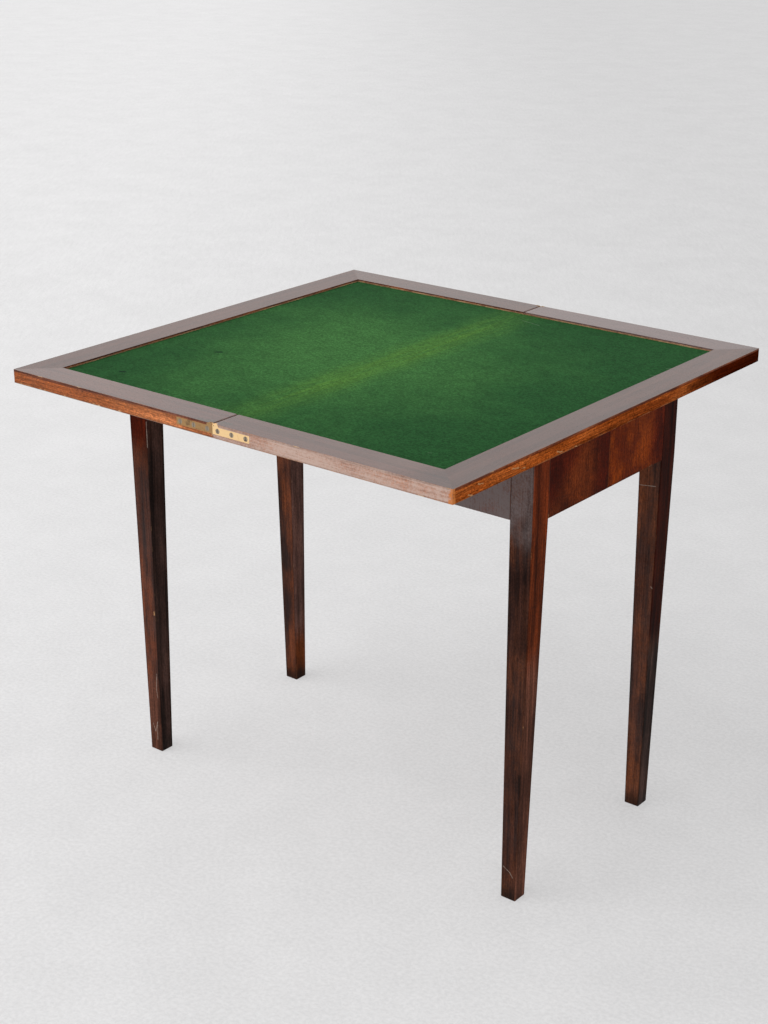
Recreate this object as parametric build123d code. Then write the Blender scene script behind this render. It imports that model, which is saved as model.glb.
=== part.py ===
from build123d import *
import os

# Folding card table, shown open. Origin on the floor below the middle of the open top,
# +Z up, +Y along the hinge line, +X towards the lower leaf. All lengths in millimetres.

# Whole table
table_height = 740.0

# Top: two equal leaves that meet at the hinge line
leaf_length = 826.0
leaf_width = 420.0
leaf_thickness = 21.5
seam_gap = 0.6
border_width = 53.0
banding_thickness = 2.8
lipping_width = 7.0
show_veneer_thickness = 0.9
baize_sink = 4.2
baize_thickness = 1.4
baize_edge_gap = 0.3
leaf_arris = 0.6
leaf_corner_round = 2.0

# Frame: how far one leaf overhangs it when the top is closed and turned over it
closed_overhang_end = 14.0
closed_overhang_side = 15.0

# Legs and aprons
leg_size = 39.0
leg_foot_size = 26.0
foot_inset_x = 11.0
foot_inset_y = 2.5
leg_arris = 0.9
foot_chamfer = 1.0
apron_depth = 102.0
apron_core_thickness = 20.0
apron_veneer_thickness = 0.9
tenon_length = 21.0
tenon_thickness = 8.0
tenon_shoulder_top = 16.0
tenon_shoulder_bottom = 9.0
mortise_fit = 0.1
mortise_spare_depth = 1.0

# Pivot rail, card well
rail_width = 70.0
rail_thickness = 22.0
dovetail_length = 12.0
dovetail_neck = 44.0
dovetail_flare = 5.0
ledger_size = 12.0
well_board_thickness = 7.0
well_board_gap = 0.5
partition_thickness = 12.0

# Swivel pivot and stop
pivot_diameter = 10.0
pivot_clearance = 0.05
bush_wall = 3.0
pivot_plate_length = 76.0
pivot_plate_width = 44.0
pivot_plate_thickness = 3.0
pivot_plate_corner = 4.0
plate_screw_inset = 9.0
plate_screw_length = 14.0
washer_diameter = 28.0
washer_thickness = 2.0
nut_size = 18.0
nut_thickness = 9.0
nut_chamfer = 1.5
bolt_tail = 5.0
bolt_tail_chamfer = 1.0
stop_diameter = 10.0
stop_drop = 12.0
stop_socket = 11.0
stop_clearance = 0.3

# Edge hinges with a link between two pins
hinge_plate_length = 70.0
hinge_plate_height = 11.2
hinge_plate_thickness = 2.5
hinge_plate_sink = 4.0
hinge_plate_corner = 0.8
ear_width = 11.5
ear_height = 6.0
ear_thickness = 4.4
ear_corner = 3.6
pin_from_seam = 2.8
folded_gap = 0.3
hinge_pin_diameter = 1.8
hinge_pin_clearance = 0.05
link_radius = 2.3
link_thickness = 1.4
link_side_clearance = 0.1
link_end_clearance = 0.3
hinge_screw_first = 10.0
hinge_screw_last = 63.0
hinge_screw_length = 20.0

# Countersunk slotted screws
screw_head_diameter = 7.8
screw_head_height = 2.0
screw_shank_diameter = 3.2
screw_slot_width = 0.8
screw_slot_depth = 0.8
screw_clearance = 0.05
screw_head_sides = 16
screw_shank_sides = 8

# Overrun of every cut, and the room left round metal let into wood
overrun = 5.0
inlet_fit = 0.1

# Levels and lines worked out from the sizes above
frame_top = table_height - leaf_thickness
apron_bottom = frame_top - apron_depth
banding_bottom = table_height - banding_thickness
baize_top = table_height - baize_sink
pocket_floor = baize_top - baize_thickness
seam_face = seam_gap / 2
leaf_half_length = leaf_length / 2
border_inner_x = leaf_width - border_width
border_inner_y = leaf_half_length - border_width
core_edge_x = leaf_width - lipping_width
core_edge_y = leaf_half_length - lipping_width

# The frame lies with its long side across the hinge line, as the closed top does
# after its quarter turn.
frame_half_length = leaf_half_length - closed_overhang_end
frame_half_width = leaf_width / 2 - closed_overhang_side
apron_thickness = apron_core_thickness + apron_veneer_thickness
apron_inner_x = frame_half_length - apron_thickness
apron_inner_y = frame_half_width - apron_thickness
leg_inner_x = frame_half_length - leg_size
leg_inner_y = frame_half_width - leg_size
tenon_inset = apron_veneer_thickness + apron_core_thickness / 2

# The pivot is a quarter of the leaf width from both middle lines, so a quarter turn
# brings the lower leaf from beside the middle of the frame to over it.
pivot_x = leaf_width / 4
pivot_y = leaf_width / 4
rail_right = pivot_x + rail_width / 2
rail_left = pivot_x - rail_width / 2
rail_bottom = frame_top - rail_thickness
stop_radius = stop_diameter / 2
stop_offset = rail_width / 2 + stop_clearance + stop_radius

well_board_bottom = apron_bottom + ledger_size
well_board_top = well_board_bottom + well_board_thickness
partition_right = rail_left + partition_thickness

# The hinge axes. Both leaves are rounded at the seam about their own pin, or the
# arrises would bind as the links turn.
pin_from_top = pin_from_seam - folded_gap / 2
hinge_axis_z = table_height - pin_from_top
seam_round = pin_from_seam - seam_face
ear_wall = (ear_thickness - link_thickness) / 2 - link_side_clearance
link_slot_width = link_thickness + 2 * link_side_clearance
hinge_plate_top = table_height - hinge_plate_sink
hinge_plate_bottom = hinge_plate_top - hinge_plate_height


def block(low, high):
    """A box between two opposite corners."""
    middle = [(a + b) / 2 for a, b in zip(low, high)]
    size = [b - a for a, b in zip(low, high)]
    return Pos(*middle) * Box(*size)


def outline(corners):
    """A closed face through corners (u, v, radius), each one rounded by its radius."""
    points = [(u, v) for u, v, _ in corners]
    radii = [radius for _, _, radius in corners]
    return make_face(FilletPolyline(*points, radius=radii, close=True))


def extruded(face, plane, start, end):
    """A face drawn on a plane, carried from start to end along the plane's normal."""
    return extrude(plane.offset(start) * face, end - start)


def both_ways(shape):
    """The shape and its mirror image over the middle of the table's length along the hinge."""
    return [shape, mirror(shape, Plane.XZ)]


def group(shapes):
    """Separate solids kept together in one node."""
    solids = [solid for shape in shapes for solid in shape.solids()]
    return solids[0] if len(solids) == 1 else Compound(solids)


def tapered(lower, upper):
    """A solid with flat sides between two level faces that have as many corners in one order."""
    below, above = [[edge @ 0 for edge in face.faces()[0].outer_wire().order_edges()]
                    for face in (lower, upper)]
    sides = [Face(Wire.make_polygon([below[i - 1], below[i], above[i], above[i - 1]]))
             for i in range(len(below))]
    return Solid(Shell(sides + [lower.faces()[0], upper.faces()[0]]))


def screw_body(length, grow):
    """A countersunk screw along Z, its flat head up at the origin, grown all round."""
    head_face = RegularPolygon(screw_head_diameter / 2 + grow, screw_head_sides)
    neck_radius = screw_shank_diameter / 2 + grow
    neck_face = Pos(0, 0, -screw_head_height) * RegularPolygon(neck_radius, screw_head_sides)
    shank_face = Pos(0, 0, -length - grow) * RegularPolygon(neck_radius, screw_shank_sides)
    return tapered(neck_face, head_face) + extrude(shank_face, length + grow - screw_head_height)


def screw(length):
    """The screw with its slot."""
    slot = block((-screw_head_diameter, -screw_slot_width / 2, -screw_slot_depth),
                 (screw_head_diameter, screw_slot_width / 2, overrun))
    return screw_body(length, 0) - slot


def screw_hole(length):
    """The countersunk hole of such a screw, open upwards, with its clearance all round."""
    mouth_face = RegularPolygon(screw_head_diameter / 2 + screw_clearance, screw_head_sides)
    return screw_body(length, screw_clearance) + extrude(mouth_face, overrun)


# The frame

def leg_section(size):
    """The square section of a leg with its arrises taken off."""
    return chamfer(Rectangle(size, size).vertices(), leg_arris)


def leg(side_x, side_y):
    """A square leg, straight beside the aprons and tapered below them on all four sides."""
    upper_x = side_x * (frame_half_length - leg_size / 2)
    upper_y = side_y * (frame_half_width - leg_size / 2)
    foot_x = side_x * (frame_half_length - foot_inset_x - leg_foot_size / 2)
    foot_y = side_y * (frame_half_width - foot_inset_y - leg_foot_size / 2)
    upper_face = Pos(upper_x, upper_y, apron_bottom) * leg_section(leg_size)
    foot_face = Pos(foot_x, foot_y, 0) * leg_section(leg_foot_size)
    lower = tapered(foot_face, upper_face)
    lower = chamfer(lower.faces().sort_by(Axis.Z)[0].edges(), foot_chamfer)
    solid = extrude(upper_face, apron_depth) + lower
    for mortise in (tenon_of_long_apron(side_x, side_y, mortise_fit, mortise_spare_depth),
                    tenon_of_short_apron(side_x, side_y, mortise_fit, mortise_spare_depth)):
        solid -= mortise
    return solid


def tenon_of_long_apron(side_x, side_y, fit, spare):
    """The tenon that a long apron sends along X into a leg, or its mortise with some fit."""
    centre_y = side_y * (frame_half_width - tenon_inset)
    near, far = side_x * leg_inner_x, side_x * (leg_inner_x + tenon_length + spare)
    half = tenon_thickness / 2 + fit
    return block((min(near, far), centre_y - half, apron_bottom + tenon_shoulder_bottom - fit),
                 (max(near, far), centre_y + half, frame_top - tenon_shoulder_top + fit))


def tenon_of_short_apron(side_x, side_y, fit, spare):
    """The tenon that a short apron sends along Y into a leg, or its mortise with some fit."""
    centre_x = side_x * (frame_half_length - tenon_inset)
    near, far = side_y * leg_inner_y, side_y * (leg_inner_y + tenon_length + spare)
    half = tenon_thickness / 2 + fit
    return block((centre_x - half, min(near, far), apron_bottom + tenon_shoulder_bottom - fit),
                 (centre_x + half, max(near, far), frame_top - tenon_shoulder_top + fit))


def dovetail(side_y, fit):
    """The tail at one end of the pivot rail, widening into the long apron."""
    root = apron_inner_y
    tip = apron_inner_y + dovetail_length + fit
    neck = dovetail_neck / 2 + fit
    flare = neck + dovetail_flare
    face = outline([(pivot_x - neck, side_y * root, 0), (pivot_x + neck, side_y * root, 0),
                    (pivot_x + flare, side_y * tip, 0), (pivot_x - flare, side_y * tip, 0)])
    return extruded(face, Plane.XY, rail_bottom - fit, frame_top)


def long_apron(side_y):
    """A long apron's core with its two tenons and the socket of the pivot rail."""
    inner, outer = side_y * apron_inner_y, side_y * (frame_half_width - apron_veneer_thickness)
    core = block((-leg_inner_x, min(inner, outer), apron_bottom),
                 (leg_inner_x, max(inner, outer), frame_top))
    for side_x in (-1, 1):
        core += tenon_of_long_apron(side_x, side_y, 0, 0)
    return core - dovetail(side_y, mortise_fit)


def short_apron(side_x):
    """A short apron's core with its two tenons."""
    inner, outer = side_x * apron_inner_x, side_x * (frame_half_length - apron_veneer_thickness)
    core = block((min(inner, outer), -leg_inner_y, apron_bottom),
                 (max(inner, outer), leg_inner_y, frame_top))
    for side_y in (-1, 1):
        core += tenon_of_short_apron(side_x, side_y, 0, 0)
    return core


def long_veneer(side_y):
    """The facing of a long apron, one leaf from leg to leg."""
    inner, outer = side_y * (frame_half_width - apron_veneer_thickness), side_y * frame_half_width
    return block((-leg_inner_x, min(inner, outer), apron_bottom),
                 (leg_inner_x, max(inner, outer), frame_top))


def short_veneer(side_x, side_y):
    """Half the facing of a short apron, which is two leaves with a joint in the middle."""
    inner, outer = side_x * (frame_half_length - apron_veneer_thickness), side_x * frame_half_length
    end = side_y * leg_inner_y
    return block((min(inner, outer), min(0, end), apron_bottom),
                 (max(inner, outer), max(0, end), frame_top))


def pivot_rail():
    """The flat rail that carries the pivot, dovetailed into both long aprons."""
    rail = block((rail_left, -apron_inner_y, rail_bottom), (rail_right, apron_inner_y, frame_top))
    for side_y in (-1, 1):
        rail += dovetail(side_y, 0)
    bore = Cylinder(pivot_diameter / 2 + pivot_clearance + bush_wall, rail_thickness + overrun)
    return rail - Pos(pivot_x, pivot_y, rail_bottom + rail_thickness / 2) * bore


def pivot_bush():
    """The metal sleeve in the rail in which the pivot bolt turns."""
    bore_radius = pivot_diameter / 2 + pivot_clearance
    sleeve = Cylinder(bore_radius + bush_wall, rail_thickness)
    sleeve -= Cylinder(bore_radius, rail_thickness + overrun)
    return Pos(pivot_x, pivot_y, rail_bottom + rail_thickness / 2) * sleeve


def well_board():
    """The bottom of the card well, notched round the two legs at its end."""
    left = -apron_inner_x + well_board_gap
    side = apron_inner_y - well_board_gap
    board = block((left, -side, well_board_bottom), (partition_right, side, well_board_top))
    for side_y in (-1, 1):
        inner, outer = side_y * (leg_inner_y - well_board_gap), side_y * frame_half_width
        board -= block((-frame_half_length, min(inner, outer), apron_bottom),
                       (-leg_inner_x + well_board_gap, max(inner, outer), frame_top))
    return board


def well_partition():
    """The wall of the card well below the rail's left edge."""
    side = apron_inner_y
    return block((rail_left, -side, well_board_top), (partition_right, side, rail_bottom))


def well_ledgers():
    """Three strips glued inside the aprons, on which the well board lies."""
    strips = []
    for side_y in (-1, 1):
        inner, outer = side_y * (apron_inner_y - ledger_size), side_y * apron_inner_y
        strips.append(block((-leg_inner_x, min(inner, outer), apron_bottom),
                            (partition_right, max(inner, outer), well_board_bottom)))
    reach = leg_inner_y
    strips.append(block((-apron_inner_x, -reach, apron_bottom),
                        (-apron_inner_x + ledger_size, reach, well_board_bottom)))
    return group(strips)


# The leaves, drawn on the right of the hinge line

def leaf_envelope():
    """The outer form of a finished leaf: eased arrises, and the round at the seam."""
    across = outline([(seam_face, frame_top, leaf_arris), (leaf_width, frame_top, leaf_arris),
                      (leaf_width, table_height, leaf_arris), (seam_face, table_height, seam_round)])
    along = outline([(-leaf_half_length, frame_top, leaf_arris),
                     (leaf_half_length, frame_top, leaf_arris),
                     (leaf_half_length, table_height, leaf_arris),
                     (-leaf_half_length, table_height, leaf_arris)])
    plan = outline([(0, -leaf_half_length, 0), (leaf_width, -leaf_half_length, leaf_corner_round),
                    (leaf_width, leaf_half_length, leaf_corner_round), (0, leaf_half_length, 0)])
    form = extruded(across, Plane.XZ, -leaf_half_length, leaf_half_length)
    form &= extruded(along, Plane.YZ, 0, leaf_width)
    return form & extruded(plan, Plane.XY, frame_top, table_height)


def strip_faces(width):
    """Plans of the three strips round a leaf, mitred at the outer corners."""
    inner_x, inner_y = leaf_width - width, leaf_half_length - width
    outer_x, outer_y = leaf_width, leaf_half_length
    long_side = outline([(inner_x, -inner_y, 0), (outer_x, -outer_y, 0),
                         (outer_x, outer_y, 0), (inner_x, inner_y, 0)])
    end = outline([(0, inner_y, 0), (inner_x, inner_y, 0), (outer_x, outer_y, 0), (0, outer_y, 0)])
    return {"long": long_side, "front": mirror(end, Plane.XZ), "back": end}


def strips(width, bottom, top, envelope):
    """The three strips as solids, with the leaf's outer form."""
    return {name: extruded(face, Plane.XY, bottom, top) & envelope
            for name, face in strip_faces(width).items()}


def leaf_core(bottom):
    """The core plank inside the lippings, with the shallow pocket of the baize."""
    plank = block((seam_face, -core_edge_y, bottom), (core_edge_x, core_edge_y, banding_bottom))
    pocket = block((0, -border_inner_y, pocket_floor),
                   (border_inner_x, border_inner_y, table_height + overrun))
    return plank - pocket


def baize():
    """The cloth of one leaf, glued into its pocket."""
    side = border_inner_y - baize_edge_gap
    return block((seam_face, -side, pocket_floor), (border_inner_x - baize_edge_gap, side, baize_top))


# The hinges, drawn at the front end on the right of the hinge line

def hinge_plate_form(fit):
    """The outer form of a hinge plate: the bar, and the ear that rises to the top surface."""
    bar = outline([(seam_face, hinge_plate_bottom - fit, 0),
                   (hinge_plate_length + fit, hinge_plate_bottom - fit, hinge_plate_corner),
                   (hinge_plate_length + fit, hinge_plate_top + fit, hinge_plate_corner),
                   (seam_face, hinge_plate_top + fit, 0)])
    ear = outline([(seam_face, table_height - ear_height - fit, 0),
                   (ear_width + fit, table_height - ear_height - fit, 0),
                   (ear_width + fit, table_height, ear_corner),
                   (seam_face, table_height, seam_round)])
    front = leaf_half_length
    return (extruded(bar, Plane.XZ, front - hinge_plate_thickness - fit, front)
            + extruded(ear, Plane.XZ, front - ear_thickness - fit, front))


def hinge_screw_places():
    """Distances from the hinge line of the three screws in one hinge plate."""
    return [hinge_screw_first, (hinge_screw_first + hinge_screw_last) / 2, hinge_screw_last]


def at_hinge_screws(shape):
    """The shape set at each screw of the plate, its +Z pointing out of the leaf's end."""
    height = (hinge_plate_top + hinge_plate_bottom) / 2
    return [Plane(origin=(x, -leaf_half_length, height), x_dir=(0, 0, 1), z_dir=(0, -1, 0)).location
            * shape for x in hinge_screw_places()]


def pin_along_y(x, radius, start, end):
    """A cylinder on a hinge axis, between two depths behind the leaf's front end."""
    turned = Pos(x, start - leaf_half_length + (end - start) / 2, hinge_axis_z) * Rot(90, 0, 0)
    return turned * Cylinder(radius, end - start)


def hinge_plate():
    """A hinge plate: bar and ear, slotted for the link, bored for the pin and the screws."""
    plate = hinge_plate_form(0)
    slot_right = pin_from_seam + link_radius + link_end_clearance
    slot_bottom = hinge_axis_z - link_radius - link_end_clearance
    slot_front = ear_wall - leaf_half_length
    plate -= block((0, slot_front, slot_bottom),
                   (slot_right, slot_front + link_slot_width, table_height + overrun))
    plate -= pin_along_y(pin_from_seam, hinge_pin_diameter / 2 + hinge_pin_clearance,
                         -overrun, ear_thickness + overrun)
    for hole in at_hinge_screws(screw_hole(hinge_screw_length)):
        plate -= hole
    return plate


def hinge_inlet():
    """What is cut from the wood for a hinge plate: its form at the fit, and the screw holes."""
    inlet = hinge_plate_form(inlet_fit)
    inlet += block((0, -leaf_half_length - overrun, table_height - ear_height - inlet_fit),
                   (pin_from_seam, ear_thickness + inlet_fit - leaf_half_length,
                    table_height + overrun))
    for hole in at_hinge_screws(screw_hole(hinge_screw_length)):
        inlet += hole
    return inlet


def hinge_link():
    """The link between the ears, round at both ends, with its two rivet holes."""
    face = Pos(0, hinge_axis_z) * SlotCenterToCenter(2 * pin_from_seam, 2 * link_radius)
    depth = ear_wall + link_side_clearance
    front = leaf_half_length - depth
    link = extruded(face, Plane.XZ, front - link_thickness, front)
    for x in (-pin_from_seam, pin_from_seam):
        link -= pin_along_y(x, hinge_pin_diameter / 2, 0, ear_thickness)
    return link


def hinge_pins():
    """The two pins of one hinge, riveted in the link and running in the ears."""
    return [pin_along_y(x, hinge_pin_diameter / 2, 0, ear_thickness)
            for x in (-pin_from_seam, pin_from_seam)]


# The pivot hardware and the stop, all on the lower leaf

def plate_screw_places():
    """The four screws of the pivot plate, in the plan of the frame."""
    half_x = pivot_plate_length / 2 - plate_screw_inset
    half_y = pivot_plate_width / 2 - plate_screw_inset
    return [(pivot_x + i * half_x, pivot_y + j * half_y) for i in (-1, 1) for j in (-1, 1)]


def at_plate_screws(shape):
    """The shape set at each screw of the pivot plate, its +Z pointing down out of the leaf."""
    return [Plane(origin=(x, y, frame_top), x_dir=(1, 0, 0), z_dir=(0, 0, -1)).location * shape
            for x, y in plate_screw_places()]


def pivot_plate():
    """The plate let flush into the underside of the lower leaf, bored for the bolt."""
    plate = Pos(pivot_x, pivot_y, frame_top) * extrude(
        RectangleRounded(pivot_plate_length, pivot_plate_width, pivot_plate_corner),
        pivot_plate_thickness)
    for hole in at_plate_screws(screw_hole(plate_screw_length)):
        plate -= hole
    bore = Cylinder(pivot_diameter / 2, pivot_plate_thickness + overrun)
    return plate - Pos(pivot_x, pivot_y, frame_top + pivot_plate_thickness / 2) * bore


def pivot_plate_inlet():
    """What is cut from the lower leaf for the plate and its screws."""
    inlet = Pos(pivot_x, pivot_y, frame_top) * extrude(
        RectangleRounded(pivot_plate_length + 2 * inlet_fit, pivot_plate_width + 2 * inlet_fit,
                         pivot_plate_corner + inlet_fit),
        pivot_plate_thickness)
    for hole in at_plate_screws(screw_hole(plate_screw_length)):
        inlet += hole
    return inlet


def pivot_bolt():
    """The bolt riveted to its plate, down through the bush, washer and nut."""
    bottom = rail_bottom - washer_thickness - nut_thickness - bolt_tail
    top = frame_top + pivot_plate_thickness
    bolt = Pos(pivot_x, pivot_y, (top + bottom) / 2) * Cylinder(pivot_diameter / 2, top - bottom)
    return chamfer(bolt.edges().sort_by(Axis.Z)[0], bolt_tail_chamfer)


def pivot_washer():
    """The washer under the rail."""
    ring = Cylinder(washer_diameter / 2, washer_thickness)
    ring -= Cylinder(pivot_diameter / 2, washer_thickness + overrun)
    return Pos(pivot_x, pivot_y, rail_bottom - washer_thickness / 2) * ring


def pivot_nut():
    """The square nut below the washer, with its lower corners chamfered round."""
    middle = rail_bottom - washer_thickness - nut_thickness / 2
    body = Box(nut_size, nut_size, nut_thickness)
    body = chamfer(body.faces().sort_by(Axis.Z)[0].edges(), nut_chamfer)
    body -= Cylinder(pivot_diameter / 2, nut_thickness + overrun)
    return Pos(pivot_x, pivot_y, middle) * body


def stop_peg(fit):
    """The round peg that meets the rail's edge at both ends of the quarter turn."""
    height = stop_drop + stop_socket + fit
    peg = Cylinder(stop_radius + fit, height)
    return Pos(pivot_x + stop_offset, pivot_y + stop_offset,
               frame_top - stop_drop + height / 2) * peg


# Build every node

nodes = {}

for side_x, name_x in ((-1, "left"), (1, "right")):
    nodes[f"apron_{name_x}"] = short_apron(side_x)
    for side_y, name_y in ((-1, "front"), (1, "back")):
        nodes[f"leg_{name_y}_{name_x}"] = leg(side_x, side_y)
        nodes[f"veneer_{name_x}_{name_y}"] = short_veneer(side_x, side_y)
for side_y, name_y in ((-1, "front"), (1, "back")):
    nodes[f"apron_{name_y}"] = long_apron(side_y)
    nodes[f"veneer_{name_y}"] = long_veneer(side_y)
nodes["pivot_rail"] = pivot_rail()
nodes["pivot_bush"] = pivot_bush()
nodes["well_board"] = well_board()
nodes["well_partition"] = well_partition()
nodes["well_ledgers"] = well_ledgers()

envelope = leaf_envelope()
plate = hinge_plate()
plate_screws = at_hinge_screws(screw(hinge_screw_length))
inlets = both_ways(hinge_inlet())
banding = strips(border_width, banding_bottom, table_height, envelope)

for leaf in ("lower", "upper"):
    wood_bottom = frame_top + (show_veneer_thickness if leaf == "upper" else 0)
    pieces = {f"{leaf}_banding_{name}": strip for name, strip in banding.items()}
    lipping = strips(lipping_width, wood_bottom, banding_bottom, envelope)
    pieces.update({f"{leaf}_lipping_{name}": strip for name, strip in lipping.items()})
    pieces[f"{leaf}_core"] = leaf_core(wood_bottom) & envelope
    for name in (f"{leaf}_banding_front", f"{leaf}_banding_back", f"{leaf}_lipping_front",
                 f"{leaf}_lipping_back", f"{leaf}_core"):
        for inlet in inlets:
            pieces[name] = pieces[name] - inlet
    if leaf == "lower":
        pieces["lower_core"] = pieces["lower_core"] - pivot_plate_inlet() - stop_peg(mortise_fit)
    else:
        sheet = block((seam_face, -leaf_half_length, frame_top),
                      (leaf_width, leaf_half_length, wood_bottom))
        pieces["upper_show_veneer"] = sheet & envelope
    pieces[f"{leaf}_baize"] = baize()
    front_plate, back_plate = both_ways(plate)
    pieces[f"{leaf}_hinge_plate_front"] = front_plate
    pieces[f"{leaf}_hinge_plate_back"] = back_plate
    pieces[f"{leaf}_hinge_screws"] = group([part for s in plate_screws for part in both_ways(s)])
    for name, shape in pieces.items():
        nodes[name] = shape if leaf == "lower" else mirror(shape, Plane.YZ)

nodes["pivot_plate"] = pivot_plate()
nodes["pivot_plate_screws"] = group(at_plate_screws(screw(plate_screw_length)))
nodes["pivot_bolt"] = pivot_bolt()
nodes["pivot_washer"] = pivot_washer()
nodes["pivot_nut"] = pivot_nut()
nodes["stop_peg"] = stop_peg(0)

nodes["hinge_link_front"], nodes["hinge_link_back"] = both_ways(hinge_link())
nodes["hinge_pins"] = group([part for pin in hinge_pins() for part in both_ways(pin)])

os.makedirs("parts", exist_ok=True)
for name, shape in nodes.items():
    export_step(group([shape]), f"parts/{name}.step")
    print(name, len(shape.solids()), "solids")
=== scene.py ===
import math
import bpy
import numpy as np
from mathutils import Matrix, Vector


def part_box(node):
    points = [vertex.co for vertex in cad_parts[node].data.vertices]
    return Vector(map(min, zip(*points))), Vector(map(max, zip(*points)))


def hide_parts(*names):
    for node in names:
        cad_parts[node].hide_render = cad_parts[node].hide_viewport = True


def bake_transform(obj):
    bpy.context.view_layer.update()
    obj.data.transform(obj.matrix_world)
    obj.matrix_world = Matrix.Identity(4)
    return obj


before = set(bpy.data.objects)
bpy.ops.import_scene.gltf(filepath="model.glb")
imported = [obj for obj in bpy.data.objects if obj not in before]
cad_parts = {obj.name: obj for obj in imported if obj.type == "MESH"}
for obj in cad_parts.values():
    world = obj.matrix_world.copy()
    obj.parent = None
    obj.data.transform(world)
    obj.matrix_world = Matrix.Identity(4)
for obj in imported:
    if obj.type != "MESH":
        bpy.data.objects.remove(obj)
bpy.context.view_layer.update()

mm = 0.001
scene = bpy.context.scene
scene.view_settings.view_transform = "Standard"
print("frame loaded:", len(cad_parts), "nodes")


# Camera: the photograph's place, turn and lens

cameraSettings = {
    "place": (1.6882, -2.1534, 1.5474),        # metres
    "turn": (68.7135, -0.126, 38.461),         # degrees about X, Y, Z
    "lens": 63.685, "sensor": 36.0,            # millimetres, on the long side of the frame
    "farEnd": 200.0,                           # metres
}


def radiansOf(degrees):
    return [math.radians(angle) for angle in degrees]


def makeCamera(settings):
    data = bpy.data.cameras.new("camera")
    data.sensor_fit = "VERTICAL"
    data.sensor_height = settings["sensor"]
    data.lens = settings["lens"]
    data.clip_end = settings["farEnd"]
    camera = bpy.data.objects.new("camera", data)
    camera.location = settings["place"]
    camera.rotation_euler = radiansOf(settings["turn"])
    scene.collection.objects.link(camera)
    scene.camera = camera


makeCamera(cameraSettings)
print("camera set")


# Small helpers for shader trees

mixSockets = {"FLOAT": (2, 3, 0), "VECTOR": (4, 5, 1), "RGBA": (6, 7, 2)}     # two inputs, one output


def feed(tree, node, inputs):
    # links the inputs that are given as sockets, writes the others
    for name, value in inputs.items():
        if isinstance(value, bpy.types.NodeSocket):
            tree.links.new(value, node.inputs[name])
        else:
            node.inputs[name].default_value = value


def put(tree, kind, inputs, **settings):
    # a new node with its settings and its inputs
    node = tree.nodes.new(kind)
    for name, value in settings.items():
        setattr(node, name, value)
    feed(tree, node, inputs)
    return node


def calc(tree, operation, *values, clamp=False):
    node = put(tree, "ShaderNodeMath", dict(enumerate(values)), operation=operation, use_clamp=clamp)
    return node.outputs[0]


def plus(tree, first, second, clamp=False):
    return calc(tree, "ADD", first, second, clamp=clamp)


def minus(tree, first, second):
    return calc(tree, "SUBTRACT", first, second)


def times(tree, first, second, clamp=False):
    return calc(tree, "MULTIPLY", first, second, clamp=clamp)


def vecCalc(tree, operation, *values):
    node = put(tree, "ShaderNodeVectorMath", dict(enumerate(values)), operation=operation)
    return node.outputs["Value" if operation in ("DOT_PRODUCT", "LENGTH") else "Vector"]


def parts(tree, vector):
    return put(tree, "ShaderNodeSeparateXYZ", {0: vector}).outputs


def joined(tree, x, y, z):
    return put(tree, "ShaderNodeCombineXYZ", {0: x, 1: y, 2: z}).outputs[0]


def remap(tree, value, low, high, toLow=0.0, toHigh=1.0):
    # smooth step of value from low to high
    node = put(tree, "ShaderNodeMapRange", {"Value": value, "From Min": low, "From Max": high,
                                            "To Min": toLow, "To Max": toHigh},
               interpolation_type="SMOOTHSTEP")
    return node.outputs[0]


def mixed(tree, factor, first, second, kind="RGBA", mode="MIX"):
    low, high, result = mixSockets[kind]
    node = put(tree, "ShaderNodeMix", {0: factor, low: first, high: second}, data_type=kind, blend_type=mode)
    return node.outputs[result]


def toned(tree, colour, tone):
    # colour times a grey tone
    grey = put(tree, "ShaderNodeCombineColor", {0: tone, 1: tone, 2: tone}).outputs[0]
    return mixed(tree, 1.0, colour, grey, mode="MULTIPLY")


def noise(tree, place, scale, detail=2.0, roughness=0.5):
    # a scale of three numbers stretches the pattern
    if isinstance(scale, tuple):
        place, scale = vecCalc(tree, "MULTIPLY", place, scale), 1.0
    return put(tree, "ShaderNodeTexNoise", {"Vector": place, "Scale": scale, "Detail": detail,
                                            "Roughness": roughness}).outputs[0]


def pattern(tree, place, settings, name):
    # a noise brought to its range, both from the settings
    return remap(tree, noise(tree, place, *settings[name]), *settings[name + "Range"])


def bumped(tree, height, settings):
    return put(tree, "ShaderNodeBump", {"Height": height, "Strength": settings["bump"],
                                        "Distance": settings["bumpHeight"]}).outputs[0]


def newGroup(name, inputs, outputs):
    # a shader node group with named sockets; gives the tree, its inputs and its output node
    tree = bpy.data.node_groups.new(name, "ShaderNodeTree")
    kinds = {"v": "NodeSocketVector", "c": "NodeSocketColor", "f": "NodeSocketFloat"}
    for sockets, way in ((inputs, "INPUT"), (outputs, "OUTPUT")):
        for socketName, kind in sockets.items():
            tree.interface.new_socket(socketName, in_out=way, socket_type=kinds[kind])
    source = tree.nodes.new("NodeGroupInput")
    result = tree.nodes.new("NodeGroupOutput")
    return tree, source.outputs, result


def finishGroup(tree, result, sockets):
    feed(tree, result, sockets)
    return tree


def useGroup(tree, group, inputs):
    return put(tree, "ShaderNodeGroup", inputs, node_tree=group).outputs


def newMaterial(name):
    material = bpy.data.materials.new(name)
    material.use_nodes = True
    tree = material.node_tree
    place = tree.nodes.new("ShaderNodeTexCoord").outputs["Object"]
    return material, tree, tree.nodes["Principled BSDF"], place


def normalOf(tree):
    return tree.nodes["Texture Coordinate"].outputs["Normal"]


def whole(value):
    # a colour made opaque; any other value as it is
    return value + (1.0,) if isinstance(value, tuple) else value


def boxOf(*names):
    # centre and half size of several nodes together
    corners = [np.array(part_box(name)) for name in names]
    low = np.min([pair[0] for pair in corners], axis=0)
    high = np.max([pair[1] for pair in corners], axis=0)
    return tuple((low + high) / 2), tuple((high - low) / 2)


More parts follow.
